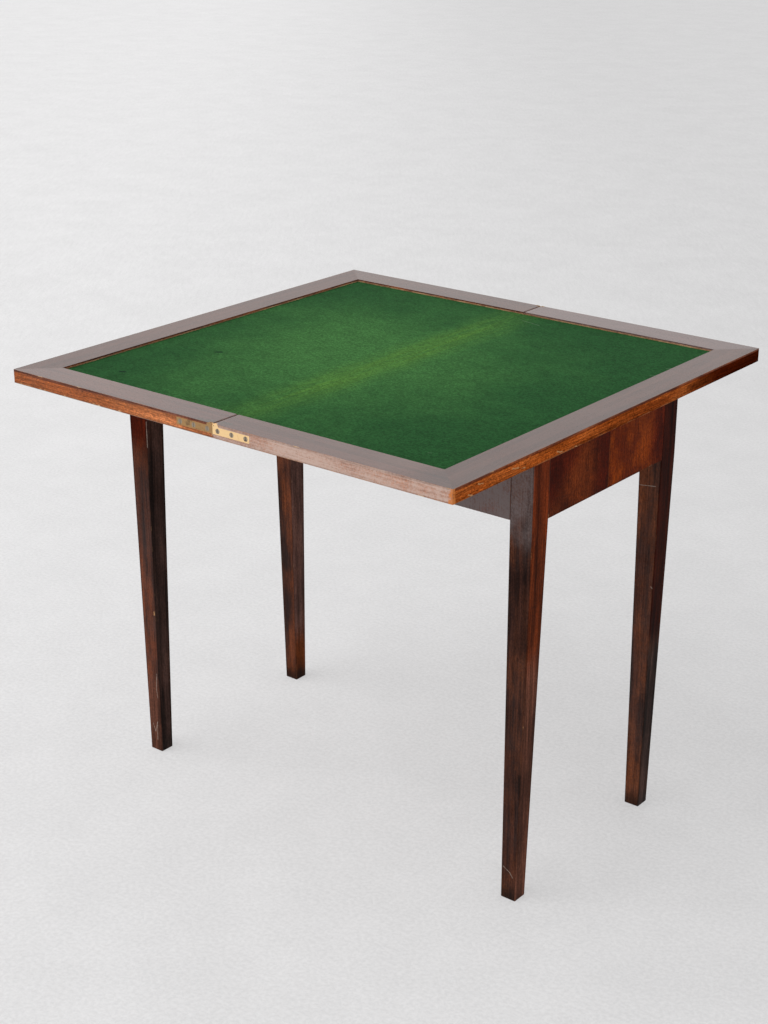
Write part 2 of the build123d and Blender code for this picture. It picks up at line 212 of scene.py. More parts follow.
def wear(node, material):
    # gives a carried CAD node its material, in every slot that it has
    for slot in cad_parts[node].material_slots:
        slot.material = material


# Shared effects. A noise is given as scale, detail and roughness, a range as its two ends and
# what they become, where that isn't 0 and 1

grainInputs = {"dark": "c", "middle": "c", "light": "c", "ribbon": "f", "cloud": "f", "cloudScale": "f",
               "cloudAlong": "f", "streak": "f", "pores": "f", "speck": "f"}

grainSettings = {
    "bend": ((2.0, 9.0, 9.0), 1.0), "bendBy": 20.0 * mm,
    "ribbon": ((1.6, 75.0, 75.0), 2.0, 0.6), "ribbonRange": (0.38, 0.62),
    "cloud": (5.0, 0.62), "cloudRange": (0.42, 0.68),          # its scale comes from the look
    "broad": ((9.0, 420.0, 420.0), 3.0, 0.65), "broadRange": (0.32, 0.68, -0.65, 0.65),
    "fine": ((60.0, 1300.0, 1300.0), 2.0), "fineRange": (0.3, 0.7, -0.35, 0.35),
    "pore": ((150.0, 2600.0, 2600.0), 1.0), "poreRange": (0.6, 0.68), "poreColour": (0.012, 0.006, 0.004),
    "speck": ((258.0, 430.0, 430.0), 3.0, 0.7), "speckRange": (0.3, 0.7, -1.0, 1.0),
    "ribbonTone": (0.38, 0.62, 0.3, -0.45), "cloudTone": (0.35, 0.65, 0.65, 1.4),
    "broadHeight": 0.25, "cloudDull": 0.12, "poreDull": 0.3,
}


def makeGrain(settings):
    # wood figure along local X, on a place bent by a slow noise: the middle colour with ribbons of
    # the dark one and clouds of the light one, toned by streaks and specks, with short open pores
    tree, given, result = newGroup("woodGrain", {"place": "v", **grainInputs}, {
        "colour": "c", "tone": "f", "streak": "f", "height": "f", "dull": "f"})
    bend = times(tree, noise(tree, given["place"], *settings["bend"]), settings["bendBy"])
    place = vecCalc(tree, "ADD", given["place"], joined(tree, 0.0, bend, bend))
    ribbon = noise(tree, place, *settings["ribbon"])
    drawn = vecCalc(tree, "MULTIPLY", place, joined(tree, given["cloudAlong"], 1.0, 1.0))
    cloud = noise(tree, drawn, given["cloudScale"], *settings["cloud"])
    broad = noise(tree, place, *settings["broad"])
    fine = noise(tree, place, *settings["fine"])
    pore = times(tree, pattern(tree, place, settings, "pore"), given["pores"])
    speck = plus(tree, 1.0, times(tree, pattern(tree, place, settings, "speck"), given["speck"]))
    streak = plus(tree, remap(tree, broad, *settings["broadRange"]),
                  remap(tree, fine, *settings["fineRange"]))
    lined = plus(tree, 1.0, times(tree, streak, given["streak"]))
    ribbonShare = times(tree, remap(tree, ribbon, *settings["ribbonRange"]), given["ribbon"])
    cloudShare = times(tree, remap(tree, cloud, *settings["cloudRange"]), given["cloud"])
    colour = mixed(tree, ribbonShare, given["middle"], given["dark"])
    colour = toned(tree, mixed(tree, cloudShare, colour, given["light"]), lined)
    colour = toned(tree, mixed(tree, pore, colour, whole(settings["poreColour"])), speck)
    tone = plus(tree, 1.0, times(tree, remap(tree, ribbon, *settings["ribbonTone"]), given["ribbon"]))
    tone = times(tree, tone, remap(tree, cloud, *settings["cloudTone"]))
    tone = times(tree, times(tree, tone, lined), speck)
    height = minus(tree, times(tree, broad, settings["broadHeight"]), pore)
    dull = plus(tree, times(tree, cloud, settings["cloudDull"]), times(tree, pore, settings["poreDull"]))
    return finishGroup(tree, result, {"colour": colour, "tone": tone, "streak": streak, "height": height,
                                      "dull": dull})


arrisSettings = {
    "ragged": (38.0, 4.0, 0.65), "raggedRange": (0.35, 0.72, 0.15, 1.9),
    "chipScale": 70.0, "chipEdge": (0.42, 0.3), "chipAbove": 0.8, "grit": (420.0, 2.0),
}


def makeArris(settings):
    # distance to the nearest arris of a box that may narrow towards its foot: the middle one
    # of the three distances to its faces; worn where that is under a ragged width, and chipped
    # where it is under the chip's size and a cell of a Voronoi pattern is picked
    tree, given, result = newGroup("arrisWear", {
        "place": "v", "centre": "v", "half": "v", "footCentre": "v", "footHalf": "v", "bend": "f",
        "width": "f", "chipSize": "f"}, {"worn": "f", "chip": "f", "distance": "f"})
    place = given["place"]
    share = calc(tree, "DIVIDE", parts(tree, place)["Z"], given["bend"], clamp=True)
    centre = mixed(tree, share, given["footCentre"], given["centre"], "VECTOR")
    half = mixed(tree, share, given["footHalf"], given["half"], "VECTOR")
    offset = vecCalc(tree, "ABSOLUTE", vecCalc(tree, "SUBTRACT", place, centre))
    room = parts(tree, vecCalc(tree, "SUBTRACT", half, offset))
    low = calc(tree, "MINIMUM", room["X"], room["Y"])
    high = calc(tree, "MAXIMUM", room["X"], room["Y"])
    distance = calc(tree, "MAXIMUM", low, calc(tree, "MINIMUM", high, room["Z"]))
    ragged = pattern(tree, place, settings, "ragged")
    kept = calc(tree, "DIVIDE", distance, times(tree, given["width"], ragged), clamp=True)
    cells = put(tree, "ShaderNodeTexVoronoi", {"Vector": place, "Scale": settings["chipScale"]}).outputs
    pick = put(tree, "ShaderNodeSeparateColor", {0: cells["Color"]}).outputs[0]
    picked = calc(tree, "GREATER_THAN", pick, settings["chipAbove"])
    grit = times(tree, noise(tree, place, *settings["grit"]), given["chipSize"])
    near = calc(tree, "LESS_THAN", plus(tree, distance, grit), given["chipSize"])
    chip = times(tree, times(tree, near, remap(tree, cells["Distance"], *settings["chipEdge"])), picked)
    return finishGroup(tree, result, {"worn": minus(tree, 1.0, kept), "chip": chip, "distance": distance})


scuffSettings = {
    "turns": (((0.3, 0.2, 0.5), 3.0), ((-0.4, 0.5, -0.9), 11.0)),     # radians, and a shift of the pattern
    "line": ((7.0, 900.0, 900.0), 1.0), "lineRange": (0.72, 0.76),
    "patch": (9.0, 2.0), "patchRange": (0.52, 0.66),
    "bloom": (5.0, 4.0, 0.6), "bloomRange": (0.4, 0.75),
}


def makeScuffs(settings):
    # hairline scratches in two directions, each thinned out by a slow noise, and a faint bloom
    tree, given, result = newGroup("scuffs", {"place": "v"}, {"scratch": "f", "bloom": "f"})
    lines = []
    for turn, shift in settings["turns"]:
        turned = put(tree, "ShaderNodeMapping", {"Vector": given["place"], "Rotation": turn,
                                                 "Location": (shift, shift, shift)}).outputs[0]
        lines.append(times(tree, pattern(tree, turned, settings, "line"),
                           pattern(tree, turned, settings, "patch")))
    return finishGroup(tree, result, {"scratch": calc(tree, "MAXIMUM", *lines),
                                      "bloom": pattern(tree, given["place"], settings, "bloom")})


strokeSettings = {"ragged": (260.0, 3.0, 0.6), "edge": (1.0, 0.25), "facing": 0.6}


def makeStroke(settings):
    # a mark on faces that look to one side: the distance to the nearest point of a line, seen
    # along that side, made ragged and cut off at the width
    tree, given, result = newGroup("stroke", {
        "place": "v", "normal": "v", "side": "v", "from": "v", "to": "v", "width": "f", "rag": "f"},
        {"mask": "f"})
    flat = vecCalc(tree, "SUBTRACT", (1.0, 1.0, 1.0), vecCalc(tree, "ABSOLUTE", given["side"]))
    start = vecCalc(tree, "MULTIPLY", given["from"], flat)
    line = vecCalc(tree, "SUBTRACT", vecCalc(tree, "MULTIPLY", given["to"], flat), start)
    offset = vecCalc(tree, "SUBTRACT", vecCalc(tree, "MULTIPLY", given["place"], flat), start)
    share = calc(tree, "DIVIDE", vecCalc(tree, "DOT_PRODUCT", offset, line),
                 vecCalc(tree, "DOT_PRODUCT", line, line), clamp=True)
    nearest = vecCalc(tree, "MULTIPLY", line, joined(tree, share, share, share))
    ragged = minus(tree, noise(tree, given["place"], *settings["ragged"]), 0.5)
    distance = plus(tree, vecCalc(tree, "LENGTH", vecCalc(tree, "SUBTRACT", offset, nearest)),
                    times(tree, ragged, given["rag"]))
    mask = remap(tree, calc(tree, "DIVIDE", distance, given["width"]), *settings["edge"])
    towards = vecCalc(tree, "DOT_PRODUCT", given["normal"], given["side"])
    facing = calc(tree, "GREATER_THAN", towards, settings["facing"])
    return finishGroup(tree, result, {"mask": times(tree, mask, facing)})


grainGroup = makeGrain(grainSettings)
arrisGroup = makeArris(arrisSettings)
scuffGroup = makeScuffs(scuffSettings)
strokeGroup = makeStroke(strokeSettings)
print("shared effects built")


# Marks: strokes on one side of a piece. Two points give the ends of each stroke, as shares of
# that side, and strokes of one kind may follow one another

markSides = {"front": (0.0, -1.0, 0.0), "right": (1.0, 0.0, 0.0), "top": (0.0, 0.0, 1.0)}
broadMark = 20.0                  # millimetres; a broader mark keeps the figure of the wood below it

# each kind: colour, its share over the wood, width and raggedness in millimetres
markKinds = {
    "scratch": ((0.38, 0.31, 0.26), 0.62, 0.8, 1.8),
    "nick": ((0.5, 0.28, 0.13), 0.8, 1.3, 4.5),
    "bare": ((0.6, 0.2, 0.055), 0.9, 3.9, 14.0),
    # painted glare: a paler band where a front edge catches the light
    "bleached": ((0.52, 0.2, 0.085), 0.22, 150.0, 60.0),
    "shade": ((0.058, 0.0055, 0.0008), 0.94, 190.0, 50.0),
    # painted shade: a greyish dark on faces in shade
    "dusk": ((0.032, 0.022, 0.02), 0.8, 80.0, 40.0),
    "ruddy": ((0.2, 0.03, 0.0055), 0.6, 70.0, 50.0),
    "flame": ((0.19, 0.036, 0.006), 0.45, 60.0, 70.0),
    # a dark red-brown; on the front-left leg's front it is the painted shadow of the leaf
    "umber": ((0.058, 0.005, 0.0012), 0.85, 60.0, 40.0),
    "russet": ((0.125, 0.022, 0.005), 0.75, 60.0, 50.0),
    "murk": ((0.019, 0.0095, 0.0085), 0.65, 45.0, 40.0),
    # painted shade: a deep dark on faces in shade
    "gloom": ((0.023, 0.0022, 0.0009), 0.88, 60.0, 40.0),
    "ashen": ((0.08, 0.045, 0.039), 0.72, 80.0, 40.0),
    "faint": ((0.13, 0.05, 0.032), 0.75, 70.0, 60.0),
    # painted shade: a dull brown darkening
    "dim": ((0.06, 0.03, 0.024), 0.6, 60.0, 40.0),
    "smudge": ((0.01, 0.007, 0.006), 0.65, 9.0, 12.0),
    "stain": ((0.055, 0.04, 0.024), 0.6, 8.0, 16.0),
    "tear": ((0.004, 0.018, 0.01), 0.95, 4.2, 2.4),
    # painted shade of a crease in the cloth
    "crease": ((0.008, 0.03, 0.014), 0.5, 2.2, 2.4),
    "core": ((0.6, 0.33, 0.17), 0.85, 1.3, 2.6),
    "fibre": ((0.16, 0.24, 0.15), 0.6, 1.0, 1.0),
}


def markPlace(box, side, share):
    # a point of the box (centre, half size) at two shares along the axes that the side leaves free
    shares = list(share)
    place = [0.0 if side[axis] else box[0][axis] + (2 * shares.pop(0) - 1) * box[1][axis]
             for axis in range(3)]
    return tuple(float(value) for value in place)


def addMarks(tree, place, colour, box, marks, tone=None):
    for kind, sideName, *points in marks:
        paint, share, width, rag = markKinds[kind]
        paint, side = whole(paint), markSides[sideName]
        if tone and width > broadMark:
            paint = toned(tree, paint, tone)
        places = [markPlace(box, side, point) for point in points]
        for start, end in zip(places[::2], places[1::2]):
            mask = useGroup(tree, strokeGroup, {
                "place": place, "normal": normalOf(tree), "side": side, "from": start, "to": end,
                "width": width * mm, "rag": rag * mm})["mask"]
            colour = mixed(tree, times(tree, mask, share), colour, paint)
    return colour


# Woods

alongX = (0.0, 0.0, 0.0)
alongY = (0.0, 0.0, -90.0)
alongZ = (0.0, 90.0, 0.0)

# what a look holds where it says nothing else; the front sheen is a painted sheen on faces turned to the
# front, of which a share is left below its from height, and above its to height all of it is there
usualWood = {
    "ribbon": 0.7, "pores": 0.6, "coat": 0.0, "coatIndex": 1.5,
    "worn": (0.33, 0.13, 0.055), "wornShare": 0.4, "rim": 0.0,
    "chip": (0.50, 0.30, 0.16), "chipSize": 1.4 * mm,
    "frontSheen": 0.0, "sheenLeft": 1.0, "sheenFrom": 0.50, "sheenTo": 0.60,
    "edgeLine": 0.0, "dirtReach": 0.0,
}

# each look's bloom colour is that of the wax bloom, and also that of the painted sheen where the look has a
# front sheen
woodLooks = {
    "leg": {
        "dark": (0.012, 0.0045, 0.0032), "middle": (0.064, 0.0175, 0.0072), "light": (0.190, 0.050, 0.0125),
        "ribbon": 0.9, "cloud": 0.75, "cloudScale": 22.0, "cloudAlong": 0.28, "streak": 0.5, "pores": 0.7,
        "speck": 0.3, "roughness": 0.4, "gloss": 0.014,
        "worn": (0.20, 0.075, 0.03), "width": 1.5 * mm, "rim": 0.5,
        "chip": (0.42, 0.24, 0.12), "chipSize": 1.3 * mm,
        "bloom": (0.18, 0.145, 0.143), "bloomShare": 0.02, "frontSheen": 0.13, "dirtReach": 30.0 * mm,
    },
    "apron": {
        "dark": (0.026, 0.0055, 0.0025), "middle": (0.088, 0.0155, 0.0038), "light": (0.235, 0.045, 0.0070),
        "ribbon": 0.15, "cloud": 0.9, "cloudScale": 22.0, "cloudAlong": 0.7, "streak": 0.38,
        "speck": 0.36, "roughness": 0.38, "gloss": 0.015,
        "worn": (0.22, 0.085, 0.035), "width": 1.2 * mm, "rim": 0.4,
        "chip": (0.42, 0.24, 0.12), "chipSize": 0.8 * mm,
        "bloom": (0.185, 0.152, 0.150), "bloomShare": 0.01, "frontSheen": 0.95, "sheenLeft": 0.2,
    },
    "border": {
        "dark": (0.060, 0.022, 0.015), "middle": (0.115, 0.045, 0.030), "light": (0.17, 0.072, 0.048),
        "ribbon": 0.5, "cloud": 0.5, "cloudScale": 12.0, "cloudAlong": 0.35, "streak": 0.16, "pores": 0.5,
        "speck": 0.08, "roughness": 0.34, "gloss": 0.05, "coat": 0.93, "coatIndex": 1.8,
        "wornShare": 0.6, "width": 1.2 * mm, "bloom": (0.25, 0.20, 0.19), "bloomShare": 0.15,
    },
    "edge": {
        "dark": (0.15, 0.030, 0.007), "middle": (0.36, 0.086, 0.018), "light": (0.60, 0.185, 0.050),
        "cloud": 0.55, "cloudScale": 26.0, "cloudAlong": 0.3, "streak": 0.6, "pores": 1.0,
        "speck": 0.4, "roughness": 0.45, "gloss": 0.02,
        "worn": (0.55, 0.26, 0.12), "wornShare": 0.5, "width": 1.6 * mm, "rim": 0.35,
        "chip": (0.62, 0.42, 0.26), "chipSize": 2.4 * mm,
        "bloom": (0.38, 0.22, 0.15), "bloomShare": 0.06,
        "edgeLine": 2.2 * mm, "lineColour": (0.11, 0.020, 0.007),
    },
    "show": {
        "dark": (0.040, 0.011, 0.006), "middle": (0.100, 0.027, 0.011), "light": (0.20, 0.058, 0.020),
        "cloud": 0.6, "cloudScale": 12.0, "cloudAlong": 0.2, "streak": 0.3,
        "speck": 0.15, "roughness": 0.34, "gloss": 0.5, "coat": 0.4,
        "wornShare": 0.5, "width": 1.4 * mm, "bloom": (0.22, 0.16, 0.14), "bloomShare": 0.12,
    },
    "plain": {
        "dark": (0.15, 0.075, 0.036), "middle": (0.27, 0.15, 0.076), "light": (0.36, 0.21, 0.11),
        "cloud": 0.4, "cloudScale": 16.0, "cloudAlong": 0.3, "streak": 0.22,
        "speck": 0.15, "roughness": 0.62, "gloss": 0.25,
        "worn": (0.40, 0.25, 0.14), "width": 1.0 * mm, "rim": 0.3,
        "chip": (0.45, 0.30, 0.18), "chipSize": 1.0 * mm,
        "bloom": (0.12, 0.08, 0.05), "bloomShare": 0.35,
    },
}

# what is different on the upright faces of a border: less polish, more figure
uprightBorder = {
    "dark": (0.050, 0.010, 0.004), "middle": (0.115, 0.024, 0.008), "light": (0.33, 0.085, 0.024),
    "cloud": 0.9, "cloudScale": 34.0, "cloudAlong": 0.4, "streak": 0.4, "speck": 0.3,
    "roughness": 0.5, "coat": 0.0, "wornShare": 0.5, "width": 0.9 * mm, "bloomShare": 0.05,
}

rawCore = {"dark": (0.16, 0.06, 0.03), "middle": (0.36, 0.17, 0.085), "light": (0.62, 0.40, 0.22),
           "cloudScale": 40.0, "cloud": 0.7}

# the front sheen in these changes is a painted sheen on faces turned to the front, and the bloom colours
# beside it paint its colour
pieceChanges = {
    "leg_front_right": {"light": (0.138, 0.037, 0.0100), "rim": 0.25,
                        "frontSheen": 0.85, "sheenLeft": 0.10, "sheenFrom": 0.57, "sheenTo": 0.65},
    "leg_front_left": {"dark": (0.010, 0.0035, 0.0025), "middle": (0.073, 0.0190, 0.0075),
                       "light": (0.215, 0.048, 0.0100),
                       "frontSheen": 0.05, "sheenLeft": 3.2, "sheenFrom": 0.45},
    "leg_back_left": {"light": (0.180, 0.043, 0.0095), "frontSheen": 0.09},
    "veneer_front": {"rim": 0.12, "cloudAlong": 1.0},
    "veneer_right_front": {"dark": (0.022, 0.0042, 0.0018), "middle": (0.062, 0.0105, 0.0030),
                           "light": (0.130, 0.024, 0.0052)},
    "veneer_right_back": {"dark": (0.030, 0.0042, 0.0012), "middle": (0.118, 0.0155, 0.0018),
                          "light": (0.265, 0.045, 0.0030)},
    "lower_core": rawCore,
    "upper_core": rawCore,
    # the lower leaf's front edge: a pink glare painted through its bloom colour and front sheen, and pale
    # lines along its top and foot that are painted highlights
    "lower_lipping_front": {"bloom": (0.565, 0.41, 0.345), "frontSheen": 0.85, "streak": 0.4,
                            "edgeLine": 1.4 * mm, "lineColour": (0.45, 0.27, 0.20)},
    "lower_lipping_long": {"middle": (0.37, 0.080, 0.013), "light": (0.66, 0.185, 0.042), "gloss": 0.0,
                           "bloomShare": 0.0},
    "upper_lipping_front": {"light": (0.66, 0.21, 0.062), "bloom": (0.42, 0.25, 0.18), "frontSheen": 0.14},
    # a painted pink glare on its front face, through its bloom colour and front sheen
    "lower_banding_front": {"middle": (0.140, 0.053, 0.036), "bloom": (0.52, 0.38, 0.32), "frontSheen": 0.75},
    # greyer, pinker colours: the sheen of the back border painted into its colour
    "lower_banding_back": {"coat": 1.0, "dark": (0.11, 0.065, 0.060), "middle": (0.165, 0.090, 0.082),
                           "light": (0.22, 0.12, 0.105)},
    "lower_banding_long": {"coat": 0.87},
    "upper_banding_front": {"middle": (0.150, 0.054, 0.036), "light": (0.215, 0.085, 0.056)},
    "upper_banding_back": {"coat": 0.88, "middle": (0.124, 0.046, 0.030)},
    "upper_banding_long": {"coat": 0.72, "middle": (0.127, 0.046, 0.030)},
}

pieceMarks = {
    # its right face is darkened by painted shade
    "leg_back_right": [
        ("gloom", "right", (0.4, 0.48), (0.4, 1.0)), ("dusk", "right", (0.5, 0.0), (0.5, 0.35)),
        ("scratch", "front", (0.04, 0.79), (0.78, 0.795), (0.8, 0.559), (0.86, 0.556)),
    ],
    "leg_front_right": [
        ("ruddy", "right", (0.5, 0.9), (0.5, 1.0)), ("russet", "right", (0.5, 0.56), (0.5, 0.86)),
        ("faint", "right", (0.5, 0.04), (0.5, 0.5)), ("murk", "front", (0.7, 0.61), (0.7, 0.73)),
        ("smudge", "front", (0.86, 0.262), (0.8, 0.3)),
        ("scratch", "front", (0.13, 0.076), (0.45, 0.066), (0.45, 0.066), (0.58, 0.056)),
        ("nick", "front", (0.93, 0.479), (0.93, 0.485), (0.88, 0.415), (0.88, 0.42)),
    ],
    "leg_back_left": [("ashen", "right", (0.5, 0.2), (0.5, 0.8))],
    # its right face is darkened by painted shade, and the top of its front by the painted shadow of the leaf
    "leg_front_left": [
        ("dusk", "right", (0.5, 0.0), (0.5, 1.0)), ("umber", "front", (0.5, 0.84), (0.5, 1.0)),
        ("faint", "front", (0.6, 0.0), (0.6, 0.12)), ("scratch", "front", (0.98, 0.787), (0.98, 0.85)),
        ("nick", "front", (0.88, 0.366), (0.88, 0.374)),
        ("scratch", "front", (0.84, 0.21), (0.78, 0.165), (0.78, 0.165), (0.84, 0.145),
         (0.46, 0.07), (0.6, 0.05), (0.6, 0.05), (0.74, 0.078), (0.74, 0.078), (0.7, 0.03)),
    ],
    "veneer_right_front": [
        ("flame", "right", (0.42, 0.5), (0.62, 0.4)),
        ("umber", "right", (1.0, 0.2), (1.0, 0.8), (0.0, 0.6), (0.25, 0.9)),
    ],
    "veneer_right_back": [
        ("flame", "right", (0.62, 0.85), (0.72, 0.75)), ("umber", "right", (1.0, 0.3), (1.0, 1.0)),
    ],
    "lower_lipping_front": [("bare", "front", (0.995, 0.0), (0.995, 1.0))],
    # a painted shade on the top near its outer corner
    "lower_banding_front": [
        ("bare", "front", (0.995, 0.0), (0.995, 1.0)), ("stain", "top", (0.02, 0.2), (0.05, 0.25)),
        ("dim", "top", (0.93, 0.4), (1.0, 0.4)),
    ],
    "lower_lipping_long": [
        ("shade", "right", (0.9, 0.5), (1.0, 0.5)), ("bare", "right", (0.002, 0.0), (0.002, 1.0)),
        ("nick", "right", (0.16, 0.62), (0.178, 0.48), (0.185, 0.35), (0.196, 0.28),
         (0.29, 0.34), (0.306, 0.16), (0.066, 0.68), (0.08, 0.56), (0.04, 0.2), (0.05, 0.05),
         (0.345, 0.1), (0.352, 0.02)),
    ],
    "lower_banding_long": [
        ("bare", "right", (0.002, 0.0), (0.002, 1.0)), ("nick", "right", (0.1, 0.9), (0.106, 0.9)),
    ],
    # a painted glare towards the hinge end of its front
    "upper_lipping_front": [
        ("bleached", "front", (0.8, 0.5), (1.0, 0.5)),
        ("nick", "front", (0.14, 0.05), (0.15, 0.05), (0.42, 0.03), (0.43, 0.03),
         (0.27, 0.06), (0.275, 0.02), (0.035, 0.05), (0.04, 0.03), (0.075, 0.04), (0.082, 0.02),
         (0.165, 0.05), (0.172, 0.03)),
    ],
    "upper_banding_long": [("core", "right", (0.0, -0.2), (1.0, -0.2))],
    "upper_banding_back": [("core", "front", (0.0, -0.15), (1.0, -0.15))],
    "lower_banding_back": [("core", "front", (0.0, -0.15), (1.0, -0.15))],
    # its end at the hinge is darkened by painted shade
    "upper_banding_front": [
        ("stain", "top", (0.965, 0.1), (0.985, 0.22), (0.93, 0.06), (0.99, 0.04)),
        ("dim", "right", (0.0, 0.5), (1.0, 0.5)),
    ],
}

woodSettings = {
    "shift": (0.37, 0.53, 0.29),              # of the pattern from one piece to the next
    "uprightBelow": 0.7,                       # a face stands where its normal rises less than this
    "scratchShare": 0.35, "rimRange": (3.2 * mm, 0.6 * mm), "rimShade": 0.45,
    "dullBase": -0.06, "wornDull": 0.18, "bloomDull": 0.5, "coatRoughness": 0.2,
    "ripple": (24.0, 3.0), "rippleHeight": 2.0, "chipDepth": 6.0, "bump": 0.35, "bumpHeight": 0.1 * mm,
    # the painted front sheen: the clouds that break it, their range, how far its height strays and how much
    # the grain's streaks break it
    "sheenCloud": (16.0, 5.0, 0.65), "sheenCloudRange": (0.3, 0.7, 0.7, 1.15), "sheenStray": 0.12, "sheenStreak": 0.3,
    "crackle": (330.0, 4.0, 0.75), "crackleRange": (0.35, 0.65, -0.22, 0.22),
    "line": (26.0, 5.0, 0.7), "lineRange": (0.38, 0.58, 0.3, 1.0), "lineStray": 0.3, "lineFull": 0.6,
    "lineTop": 0.85, "footReach": 0.9, "lineFoot": 0.7,
    "dirt": (60.0, 4.0), "dirtStray": 0.6, "dirtFrom": 1.5, "dirtTo": 0.5, "dirtShare": 0.75,
    "dirtColour": (0.011, 0.009, 0.008),
}


def eitherLook(tree, level, upright, settings):
    # a look in which each value of upright holds on upright faces and that of level on the others
    rise = calc(tree, "ABSOLUTE", parts(tree, normalOf(tree))["Z"])
    stands = calc(tree, "LESS_THAN", rise, settings["uprightBelow"])
    return {**level, **{key: mixed(tree, stands, whole(level[key]), whole(value),
                                   "RGBA" if isinstance(value, tuple) else "FLOAT")
                        for key, value in upright.items()}}


def frontSheen(tree, place, look, streak, settings):
    # painted sheen: a grey reflection painted into the colour of faces turned to the front, from the share
    # left low down to all of it higher up, broken by clouds, a fine crackle and the streaks of the grain
    front = times(tree, parts(tree, normalOf(tree))["Y"], -look["frontSheen"], clamp=True)
    cloud = noise(tree, place, *settings["sheenCloud"])
    stray = times(tree, minus(tree, cloud, 0.5), settings["sheenStray"])
    height = plus(tree, parts(tree, place)["Z"], stray)
    risen = remap(tree, height, look["sheenFrom"], look["sheenTo"], look["sheenLeft"], 1.0)
    crackle = pattern(tree, place, settings, "crackle")
    broken = plus(tree, remap(tree, cloud, *settings["sheenCloudRange"]),
                  times(tree, streak, settings["sheenStreak"]))
    return times(tree, times(tree, front, risen), plus(tree, broken, crackle), clamp=True)


def edgeLine(tree, place, own, width, streak, settings):
    # the line colour along the top and the foot of an edge, dark on most edges and pale on the lower leaf's
    # front edge, where it is a painted highlight: a step of the height at each, strayed by the streaks of
    # the grain and thinned out by a noise
    top, low = own[0][2] + own[1][2], own[0][2] - own[1][2]
    height = plus(tree, parts(tree, place)["Z"], times(tree, streak, settings["lineStray"] * width))
    above = remap(tree, height, top - width, top - settings["lineFull"] * width, 0.0, settings["lineTop"])
    below = remap(tree, height, low + settings["footReach"] * width, low, 0.0, settings["lineFoot"])
    return times(tree, calc(tree, "MAXIMUM", above, below), pattern(tree, place, settings, "line"))


def footDirt(tree, place, reach, settings):
    # dirt that ends at a height strayed by a noise
    stray = times(tree, noise(tree, place, *settings["dirt"]), settings["dirtStray"] * reach)
    height = plus(tree, parts(tree, place)["Z"], stray)
    dirt = remap(tree, height, settings["dirtFrom"] * reach, settings["dirtTo"] * reach)
    return times(tree, dirt, settings["dirtShare"])


def woodMaterial(node, look, grain, number, form=None, foot=None, bend=1.0, upright=None):
    # grain first, then the edge line (on one edge a painted highlight), the wax bloom with the painted front
    # sheen, the painted shade along the arrises and dirt, then scratches, worn arrises, chips and the
    # piece's marks, some of which are painted shade or glare; form and foot are (centre, half size) of the
    # box whose arrises are worn, above the height bend and at the floor; upright is what differs on upright
    # faces
    settings = woodSettings
    material, tree, shader, place = newMaterial(f"wood_{node}")
    changes = pieceChanges.get(node, {})
    look = {**usualWood, **look, **changes}
    if upright:
        look = eitherLook(tree, look, {key: value for key, value in upright.items()
                                       if key == "coat" or key not in changes}, settings)
    own = boxOf(node)
    form = form or own
    foot = foot or form
    turned = put(tree, "ShaderNodeMapping", {
        "Vector": place, "Location": [number * step for step in settings["shift"]],
        "Rotation": radiansOf(grain)}).outputs[0]
    figure = useGroup(tree, grainGroup, {"place": turned, **{key: whole(look[key]) for key in grainInputs}})
    arris = useGroup(tree, arrisGroup, {
        "place": place, "centre": form[0], "half": form[1], "footCentre": foot[0], "footHalf": foot[1],
        "bend": bend, "width": look["width"], "chipSize": look["chipSize"]})
    scuffs = useGroup(tree, scuffGroup, {"place": turned})
    worn = times(tree, arris["worn"], look["wornShare"])
    bloom = times(tree, scuffs["bloom"], look["bloomShare"])
    # the wax bloom; on faces turned to the front the painted sheen is added to it
    if look["frontSheen"]:
        bloom = plus(tree, bloom, frontSheen(tree, place, look, figure["streak"], settings), clamp=True)

    colour = figure["colour"]
    if look["edgeLine"]:
        line = edgeLine(tree, place, own, look["edgeLine"], figure["streak"], settings)
        colour = mixed(tree, line, colour, whole(look["lineColour"]))
    colour = mixed(tree, bloom, colour, whole(look["bloom"]))
    # painted shade: the colour darkens within a few millimetres of each arris
    if look["rim"]:
        rim = times(tree, remap(tree, arris["distance"], *settings["rimRange"]), look["rim"])
        shade = tuple(settings["rimShade"] * part for part in look["dark"])
        colour = mixed(tree, rim, colour, whole(shade))
    if look["dirtReach"]:
        dirt = footDirt(tree, place, look["dirtReach"], settings)
        colour = mixed(tree, dirt, colour, whole(settings["dirtColour"]))
    scratch = times(tree, scuffs["scratch"], settings["scratchShare"])
    colour = mixed(tree, scratch, colour, whole(look["worn"]))
    colour = mixed(tree, worn, colour, whole(look["worn"]))
    colour = mixed(tree, arris["chip"], colour, whole(look["chip"]))
    colour = addMarks(tree, place, colour, own, pieceMarks.get(node, ()), figure["tone"])

    rough = plus(tree, plus(tree, figure["dull"], settings["dullBase"]), look["roughness"])
    rough = plus(tree, rough, times(tree, worn, settings["wornDull"]))
    rough = plus(tree, rough, times(tree, bloom, settings["bloomDull"]), clamp=True)
    ripple = times(tree, noise(tree, place, *settings["ripple"]), settings["rippleHeight"])
    height = minus(tree, plus(tree, figure["height"], ripple),
                   times(tree, arris["chip"], settings["chipDepth"]))
    feed(tree, shader, {
        "Base Color": colour, "Roughness": rough, "Normal": bumped(tree, height, settings),
        "Specular IOR Level": look["gloss"], "Coat Weight": look["coat"],
        "Coat Roughness": settings["coatRoughness"], "Coat IOR": look["coatIndex"]})
    return material


def levelBox(points, centre, half):
    # centre and half size in plan of some points, with the height of the whole piece
    low, high = points.min(0), points.max(0)
    return (((low[0] + high[0]) / 2, (low[1] + high[1]) / 2, centre[2]),
            ((high[0] - low[0]) / 2, (high[1] - low[1]) / 2, half[2]))


